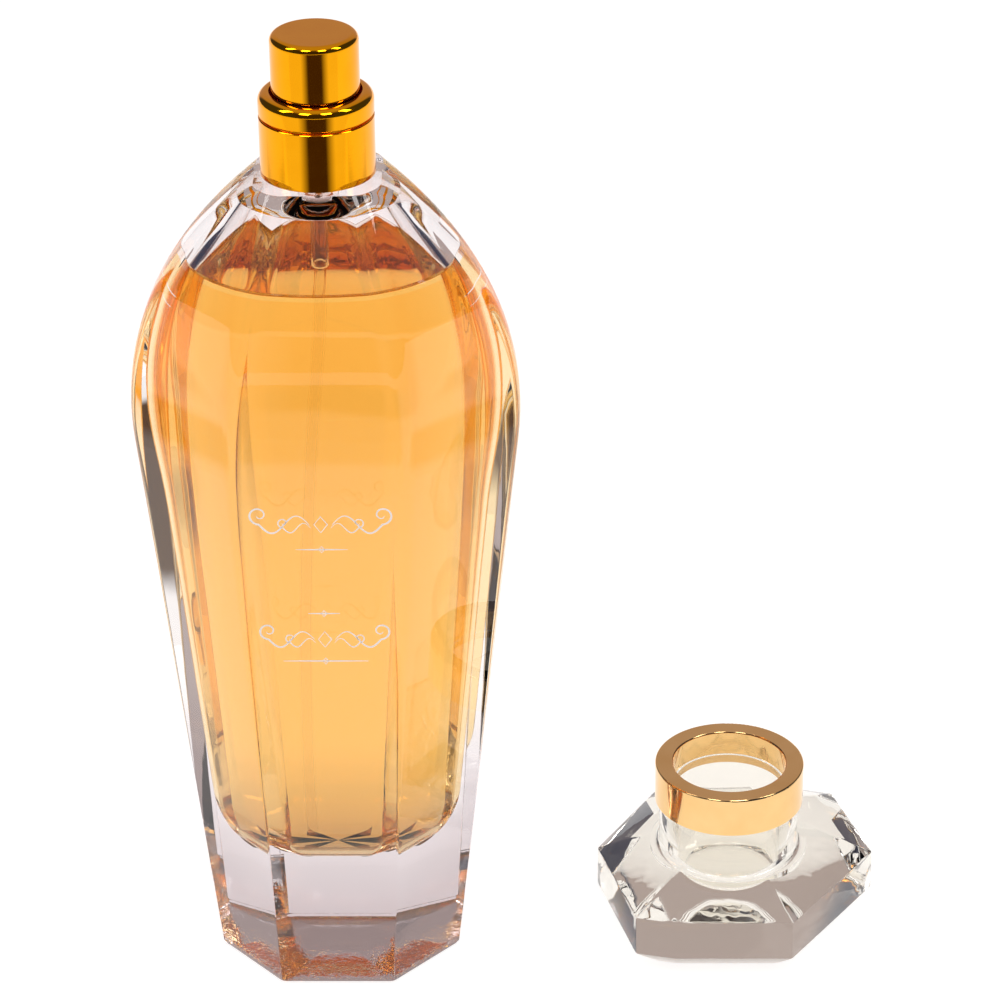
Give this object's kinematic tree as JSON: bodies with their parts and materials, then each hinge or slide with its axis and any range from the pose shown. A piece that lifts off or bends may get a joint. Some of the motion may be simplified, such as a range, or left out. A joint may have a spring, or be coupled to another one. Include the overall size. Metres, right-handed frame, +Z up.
{
  "type": "perfume bottle",
  "caption": "Faceted glass perfume bottle with amber fill, crimped spray pump, gold collar and button, and a clear gem-shaped cap with a gold ring standing beside it.",
  "frame": {"origin": "on the floor under the bottle's axis, in the middle of the bottle's foot", "axes": "+X the bottle's right side, where the cap stands; +Y the bottle's back; +Z up along the bottle's axis"},
  "size_m": [0.1256, 0.0489, 0.1684],
  "materials": {
    "bottle_glass": "clear polished glass",
    "perfume": "clear amber liquid",
    "gasket_rubber": "pale rubber",
    "white_plastic": "moulded",
    "clear_plastic": "translucent moulded",
    "steel": "bright spring steel",
    "ferrule_metal": "plain stamped",
    "gold_metal": "mirror gold anodised",
    "cap_clear": "clear polished acrylic",
    "pale_gold_metal": "mirror pale gold anodised"
  },
  "bodies": {
    "bottle_body": {"bottle": "bottle_glass", "perfume": "perfume", "neck_gasket": "gasket_rubber", "pump_turret": "white_plastic", "pump_housing": "clear_plastic", "dip_tube": "clear_plastic", "ball_retainer": "white_plastic", "main_spring": "steel", "ferrule": "ferrule_metal", "collar_core": "white_plastic", "collar_sleeve": "gold_metal", "collar_shoulder_ring": "gold_metal"},
    "actuator": {"actuator_shell": "gold_metal", "actuator_core": "white_plastic", "nozzle_insert": "white_plastic", "stem": "white_plastic", "piston": "white_plastic"},
    "inlet_ball": {"check_ball": "steel"},
    "cap": {"cap_body": "cap_clear", "cap_liner": "cap_clear", "cap_ring": "pale_gold_metal"}
  },
  "joints": [
    {"name": "actuator_press", "type": "slide", "parent": "bottle_body", "child": "actuator", "axis": [0, 0, -1], "range_m": [0, 0.004], "stiffness_N_per_m": 600, "springref_m": -0.002, "deforming": ["main_spring"]},
    {"name": "ball_lift", "type": "slide", "parent": "bottle_body", "child": "inlet_ball", "axis": [0, 0, 1], "range_m": [0, 0.0006]},
    {"name": "cap_lift", "type": "slide", "parent": "bottle_body", "child": "cap", "axis": [0, 0, 1], "range_m": [0, 0.2]}
  ]
}
